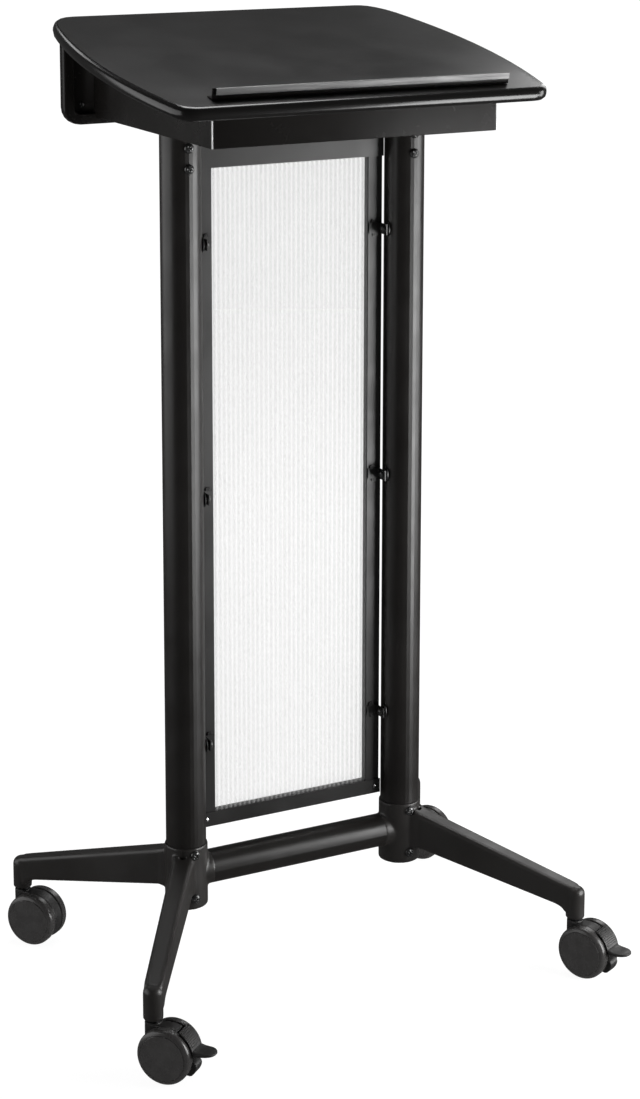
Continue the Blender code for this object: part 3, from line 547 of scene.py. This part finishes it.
def make_hood(name, brake, place, material):
    """The hood between the wheels, the boss round its axle, the web between them, and the neck."""
    hood = prism(hood_outline(brake), -HOOD_HALF, HOOD_HALF, "Y")
    hood = piece(f"{name}_hood_look", hood, material, 40, place)
    bevel(hood, 1.1, 3)
    core = cylinder(7, -HOOD_HALF + 0.3, HOOD_HALF - 0.3)
    core = piece(f"{name}_core_look", core, material, 40, place @ AT_AXLE @ ALONG_Y)
    web = arc(AXLE, 19.5 if brake else 28, radians(-36), radians(100), 24)
    web += [(2, 60), (-4, 52), (-2, 42), hub_point(200, 8), hub_point(262, 8)]
    web = piece(f"{name}_web_look", prism(web, -2.5, 2.5, "Y"), material, 40, place)
    flat = HOOD_HALF - 0.1
    start = atan(flat / sqrt(NECK_RADIUS**2 - flat**2))
    neck = arc((0, 0), NECK_RADIUS, pi - start, pi + start, 20)
    neck += arc((0, 0), NECK_RADIUS, -start, start, 20)
    neck = piece(f"{name}_neck_look", prism(neck, NECK_LOW, NECK_HIGH), material, 40, place)
    bevel(neck, 0.8, 3)
    for obj in (hood, core, web, neck):
        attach(obj, f"{name}_swivel")
    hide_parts(f"{name}_hood")


def make_lever(name, place, material):
    """The lever's wide shell, the core that fills the hood's recess, the grip ribs and the paddle."""
    outline = shell_outline(SHELL_INNER, SHELL_OUTER, 61, 3)
    lever = prism(outline, -LEVER_HALF, LEVER_HALF, "Y")
    lever = piece(f"{name}_lever_look", lever, material, 35, place)
    bevel(lever, 0.7, 3, 30)
    outline = shell_outline(28.6, SHELL_INNER + 0.4, 59.5, 5)
    core = prism(outline, -HOOD_HALF, HOOD_HALF, "Y")
    core = piece(f"{name}_lever_core", core, material, 35, place)
    bevel(core, 0.7, 3, 30)
    ribs = []
    for i in range(RIBS):
        turn = Matrix.Rotation(-radians(RIB_TOP - RIB_STEP * i), 4, "Y")
        spot = place @ AT_AXLE @ turn @ at(SHELL_OUTER, 0, 0)
        ribs.append(turned(cylinder(0.55, 1.4 - LEVER_HALF, LEVER_HALF - 1.4, 10), spot @ ALONG_Y))
    ribs = piece(f"{name}_lever_ribs", gather(ribs), material)
    paddle = piece(f"{name}_lever_paddle", paddle_mesh(), material, 50, place)
    for obj in (lever, core, ribs, paddle):
        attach(obj, f"{name}_brake_lever")
    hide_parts(f"{name}_brake_lever")


def make_casters(finishes):
    for caster, (heading, brake) in CASTERS.items():
        name = f"caster_{caster}"
        spot = (middle(f"{name}_stem") - HOME) / MM
        place = at(spot.x, spot.y, 0) @ Matrix.Rotation(radians(heading - 90), 4, "Z")
        for word, facing in (("outer", -1), ("inner", 1)):
            make_wheel(name, word, facing, place, finishes["wheel_nylon"])
        make_hood(name, brake, place, finishes["black_nylon"])
        if brake:
            make_lever(name, place, finishes["lever_nylon"])


# ---------------------------------------------------------------- screws and clamps


SLOT_HALF, SLOT_DEPTH = 0.55, 1.6


def put_screw(node, radius, height, recess, place, material, spin):
    """A pan head on Z, top at zero, with a cross recess."""
    outline = ((0, 0), (0.45, 0.12), (0.8, 0.38), (0.97, 0.72), (1, 1), (0, 1))
    head = lathe([(radius * reach, -height * fall) for reach, fall in outline], 40)
    turn = place @ Matrix.Rotation(spin, 4, "Z")
    obj = piece(f"{node}_look", head, material, 50, turn)
    for x, y in ((recess, SLOT_HALF), (SLOT_HALF, recess)):
        carve(obj, block((-x, -y, -SLOT_DEPTH), (x, y, 2)), turn)
    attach(obj, "stand")
    return obj


def speaker_face(node):
    """The middle of a node's face on the speaker's side, with Z out of it."""
    spot = (middle(node) - HOME) / MM
    face = (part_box(node)[0][1] - HOME.y) / MM
    return at(spot.x, face, spot.z) @ Matrix.Rotation(pi / 2, 4, "X")


def make_screws(finishes):
    for side, word in SIDES:
        for kind in ("post_top_screw", "hub_screw"):
            for level in ("lower", "upper"):
                node = f"{kind}_{word}_{level}"
                spin = 0.35 + 0.9 * (level == "upper") + 0.5 * side
                place = speaker_face(node)
                obj = put_screw(node, 6.1, 3.6, 3.1, place, finishes["black_screw"], spin)
                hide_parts(node)
        node = f"rear_panel_screw_{word}"
        obj = put_screw(node, 3.8, 2.1, 2.0, speaker_face(node), finishes["black_screw"], 0.6)
        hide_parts(node)


# ---------------------------------------------------------------- base castings

HUB_RADIUS, HUB_BORE, HUB_LOW, HUB_HIGH = 26.6, 25.1, 100.4, 180.4
HUB_FLOOR = HUB_LOW + 5.3
HUB_SCREW_LEVELS = (114.7, 171.2)
CROSSBAR_RADIUS, CROSSBAR_LEVEL = 20.9, 141.5
POST_X, CASTER_X, CASTER_Y = 151.5, 289, 204.4
SOCKET_RADIUS, SOCKET_BORE, SOCKET_LOW, SOCKET_HIGH = 11.8, 5.6, 69.7, 110
LEG_TOP, LEG_TOP_FALL = 177, 0.269
LEG_FOOT, LEG_FOOT_FALL = 126.5, 0.186
VOXEL = 1.3 * MM


def leg_solid(side, toward):
    """A leg in the hub's frame, run along X and turned to its socket."""
    run = Vector((side * (CASTER_X - POST_X), toward * CASTER_Y))
    length = run.length
    sections = []
    for s, flare in ((0, 2), (26, 2), (34, 0), (120, 0), (200, 0), (length - 24, 0)):
        half = 13.2 - 1.6 * s / length + flare * 0.7
        top, foot = LEG_TOP - LEG_TOP_FALL * s, LEG_FOOT - LEG_FOOT_FALL * s
        sections.append(rounded_section(s, half, top + flare * 0.5, foot - flare))
    for back, drop in ((17, 1), (13, 2.8), (10, 6)):
        s = length - back
        top, foot = LEG_TOP - LEG_TOP_FALL * s, LEG_FOOT - LEG_FOOT_FALL * s
        sections.append(rounded_section(s, 11.7, top, foot - drop))
    sections.append(rounded_section(length, 10.8, LEG_TOP - LEG_TOP_FALL * length, SOCKET_LOW + 6))
    return turned(loft(sections), Matrix.Rotation(run.angle_signed(Vector((1, 0))), 4, "Z"))


def make_casting(side, word, material):
    """One skin over the hub, legs, sockets and the crossbar's root, with cast fillets between them."""
    hub = lathe([(0, HUB_LOW), (HUB_RADIUS, HUB_LOW), (HUB_RADIUS, HUB_HIGH), (0, HUB_HIGH)], 96)
    inward = Matrix.Rotation(-side * pi / 2, 4, "Y")
    root = turned(cylinder(CROSSBAR_RADIUS, 0, 31, 72), at(0, 0, CROSSBAR_LEVEL) @ inward)
    solids = [hub, root]
    sockets = [(side * (CASTER_X - POST_X), toward * CASTER_Y) for toward in (-1, 1)]
    for toward, (x, y) in zip((-1, 1), sockets):
        solids.append(leg_solid(side, toward))
        profile = [(0, SOCKET_LOW), (SOCKET_RADIUS, SOCKET_LOW), (SOCKET_RADIUS, SOCKET_HIGH - 12)]
        profile += arc((SOCKET_RADIUS - 9, SOCKET_HIGH - 9), 9, 0, pi / 2, 8) + [(0, SOCKET_HIGH)]
        solids.append(turned(lathe(profile, 48), at(x, y, 0)))
    place = at(side * POST_X, 0, 0)
    casting = piece(f"base_casting_{word}_look", gather(solids), material, 40, place)
    skin = casting.modifiers.new("skin", "REMESH")
    skin.mode = "VOXEL"
    skin.voxel_size = VOXEL
    fillet = casting.modifiers.new("fillet", "SMOOTH")
    fillet.factor = 0.5
    fillet.iterations = 7
    settle(casting)
    carve(casting, cylinder(HUB_BORE, HUB_FLOOR, HUB_HIGH + 20, 96), place)
    for z in HUB_SCREW_LEVELS:
        seat = turned(cylinder(6.7, -HUB_RADIUS - 20, -HUB_RADIUS - 0.1, 32), ALONG_Y)
        carve(casting, seat, place @ at(0, 0, z))
    for toward in (-1, 1):
        heading = atan2(toward * CASTER_Y, side * (CASTER_X - POST_X))
        pocket = turned(cylinder(1, -6, 6, 24), Matrix.Diagonal((2.6, 5, 1, 1)))
        carve(casting, pocket, place @ Matrix.Rotation(heading, 4, "Z") @ at(HUB_RADIUS + 1.6, 0, 172))
    for x, y in sockets:
        carve(casting, cylinder(SOCKET_BORE, SOCKET_LOW - 5, 97, 32), place @ at(x, y, 0))
    casting.data.shade_smooth()
    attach(casting, "stand")
    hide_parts(f"base_casting_{word}")


# ---------------------------------------------------------------- desk trim

SLOPE = radians(9.62)
# Radius of the bright beads that paint the highlight on the tray's front corners.
HIGHLIGHT_BEAD_RADIUS = 0.9


def make_stop(finishes):
    """The paper stop: a black foot and web, with a satin strip along its front."""
    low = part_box("paper_stop")[0]
    foot_y = (low[1] - HOME.y) / MM + 14.3 * sin(SLOPE)
    place = at(0, foot_y, low[2] / MM) @ Matrix.Rotation(SLOPE, 4, "X")
    body = [(3, 0), (16, 0), (16, 1.4), (5, 1.6), (5, 13.2), (3, 13.2)]
    body = piece("paper_stop_body", prism(body, -191.6, 191.6, "X"), finishes["black_sheet"], 40, place)
    strip = [(2.9, 6), (2.9, 14), (0.9, 14.1), (0.2, 13.6), (0.2, 6.3), (0.6, 6)]
    strip = piece("paper_stop_strip", prism(strip, -188.5, 190.5, "X"), finishes["grey_stop"], 40, place)
    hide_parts("paper_stop")
    for obj in (body, strip):
        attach(obj, "stand")


def make_tray_corner_highlights():
    """A thin bright metal bead at each front corner of the tray: a painted highlight along the black
    sheet's corner.
    """
    # Painted highlight: a bright metal bead stands in for the light caught along each corner of the
    # black tray.
    edge = bare_metal("tray_highlight_look", (0.5, 0.5, 0.5), (0.62, 0.62, 0.62), (0.3, 0.45)).material
    front = (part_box("desk_tray")[0][1] - HOME.y) / MM
    for side, word in SIDES:
        bead = lathe([(0, 1062.2), (HIGHLIGHT_BEAD_RADIUS, 1062.4), (HIGHLIGHT_BEAD_RADIUS, 1099.6), (0, 1099.8)], 16)
        spot = at(side * 184.9, front + HIGHLIGHT_BEAD_RADIUS, 0)
        obj = piece(f"tray_fold_{word}", bead, edge, 40, spot)
        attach(obj, "stand")


CLIP_LEVELS = ((302, "lower"), (614, "middle"), (926, "upper"))


def make_clips(finishes):
    """The clamps' fixings: tabs with a rivet above and below each strap, a washer and a screw head."""
    tab = ((110.4, 5), (110.4, 9.4), (112, 10.6), (115.6, 10.6), (117.2, 9.4), (117.2, 5))
    rivet = ((0, -0.4), (0.8, -0.3), (1.1, 0.5), (1.7, 0.5), (2.1, -0.2), (2.1, -0.8), (0, -0.8))
    for side, word in SIDES:
        inward = Matrix.Rotation(-side * pi / 2, 4, "Y")
        for z, level in CLIP_LEVELS:
            name = f"screen_clip_{word}_{level}"
            high_tab = [(side * x, z + dz) for x, dz in tab]
            low_tab = [(x + side * 2.4, 2 * z - tall) for x, tall in high_tab]
            parts = [prism(high_tab, 7.9, 9.3, "Y"), prism(low_tab, 7.9, 9.3, "Y")]
            for x, dz in ((113.8, 8), (116.2, -8)):
                spot = at(side * x, 7.9, z + dz) @ Matrix.Rotation(pi / 2, 4, "X")
                parts.append(turned(lathe(rivet, 20), spot))
            washer = turned(cylinder(6, -0.7, 0.7, 40), Matrix.Diagonal((1.55, 1, 1, 1)))
            parts.append(turned(washer, at(side * 125.9, -4, z) @ inward))
            trim = piece(f"{name}_trim", gather(parts), finishes["black_clip"])
            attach(trim, "stand")
            place = at(side * 117.2, -4, z) @ inward
            put_screw(name, 5.1, 2.4, 2.6, place, finishes["black_screw"], 0.5 + z / 100)


# ---------------------------------------------------------------- studio


def add_light(name, azimuth, height, size, power, distance=2.6, aim_height=0.7):
    """A soft panel round the lectern, unseen itself. Azimuth is from +X, anticlockwise from above."""
    data = bpy.data.lights.new(name, "AREA")
    data.shape = "RECTANGLE"
    data.size, data.size_y = size
    data.energy = power
    light = bpy.data.objects.new(name, data)
    bpy.context.scene.collection.objects.link(light)
    spot = Vector((distance * cos(radians(azimuth)), distance * sin(radians(azimuth)), height))
    aim = (Vector((0, 0, aim_height)) - spot).to_track_quat("-Z", "Y").to_matrix().to_4x4()
    light.matrix_world = Matrix.Translation(spot) @ aim
    light.visible_camera = False


def make_world():
    """White behind the lectern; as a light it is dim, and dimmest on the speaker's side."""
    world = bpy.data.worlds.new("studio")
    world.use_nodes = True
    tree = world.node_tree
    seen = tree.nodes["Background"]
    seen.inputs["Color"].default_value = (1, 1, 1, 1)
    seen.inputs["Strength"].default_value = 1.05
    lit = tree.nodes.new("ShaderNodeBackground")
    lit.inputs["Color"].default_value = (1, 1, 1, 1)
    direction = tree.nodes.new("ShaderNodeTexCoord").outputs["Generated"]
    facing = tree.nodes.new("ShaderNodeVectorMath")
    facing.operation = "DOT_PRODUCT"
    facing.inputs[1].default_value = (0.8, 0.54, 0.25)
    tree.links.new(direction, facing.inputs[0])
    level = tree.nodes.new("ShaderNodeMapRange")
    for socket, value in zip(level.inputs[1:5], (-0.6, 0.95, 0.04, 0.075)):
        socket.default_value = value
    tree.links.new(facing.outputs["Value"], level.inputs[0])
    tree.links.new(level.outputs[0], lit.inputs["Strength"])
    ray = tree.nodes.new("ShaderNodeLightPath")
    mix = tree.nodes.new("ShaderNodeMixShader")
    tree.links.new(ray.outputs["Is Camera Ray"], mix.inputs["Fac"])
    tree.links.new(lit.outputs["Background"], mix.inputs[1])
    tree.links.new(seen.outputs["Background"], mix.inputs[2])
    tree.links.new(mix.outputs["Shader"], tree.nodes["World Output"].inputs["Surface"])
    bpy.context.scene.world = world


FLOOR_RADIUS, FLOOR_DROP = 4.2, 0.0004


def make_floor():
    """A round of pale paper with a soft glow of its own, as if lit from all round."""
    finish = Finish("floor_look", roughness=0.7, specular=0.1)
    finish.colour(finish.noise(2, 3), (0.15, 0.15, 0.15), (0.17, 0.17, 0.17))
    finish.set("Emission Color", (1, 1, 1, 1))
    reach = finish.tree.nodes.new("ShaderNodeVectorMath")
    reach.operation = "LENGTH"
    finish.link(finish.place, reach.inputs[0])
    outward = finish.maths("DIVIDE", reach.outputs["Value"], FLOOR_RADIUS)
    finish.link(finish.ramp(outward, 0.94, 1.04, 0.1, 0.5), finish.shader.inputs["Emission Strength"])
    mesh = bpy.data.meshes.new("floor")
    rim = [(x, y, 0) for x, y in arc((0, 0), FLOOR_RADIUS, 0, 2 * pi, 96)[:-1]]
    mesh.from_pydata(rim, [], [tuple(range(len(rim)))])
    mesh.materials.append(finish.material)
    floor = bpy.data.objects.new("floor", mesh)
    floor.location.z = -FLOOR_DROP
    floor.visible_glossy = False
    bpy.context.scene.collection.objects.link(floor)


def make_studio():
    make_floor()
    make_world()
    add_light("key_right", -47, 0.45, (0.55, 0.86), 16, 1.3, 0.45)
    add_light("side_right", -22, 0.8, (0.9, 1.8), 34)
    add_light("rim_right", 34, 2.0, (1.0, 1.4), 12)
    add_light("rim_left", 101, 2.5, (0.8, 0.5), 3)
    add_light("edge_left", 160, 1.0, (3.4, 2.0), 34)
    add_light("top_soft", 62, 3.2, (1.3, 1.3), 40, 0.7, 0)
    bpy.context.scene.view_settings.view_transform = "Standard"
    bpy.context.scene.view_settings.look = "None"


# ---------------------------------------------------------------- build


def main():
    add_camera()
    finishes = make_finishes()
    coat_nodes(finishes)
    refine_nodes(finishes)
    make_casters(finishes)
    for side, word in SIDES:
        make_casting(side, word, finishes["black_casting"])
    make_screws(finishes)
    make_stop(finishes)
    make_tray_corner_highlights()
    make_clips(finishes)
    make_studio()


main()
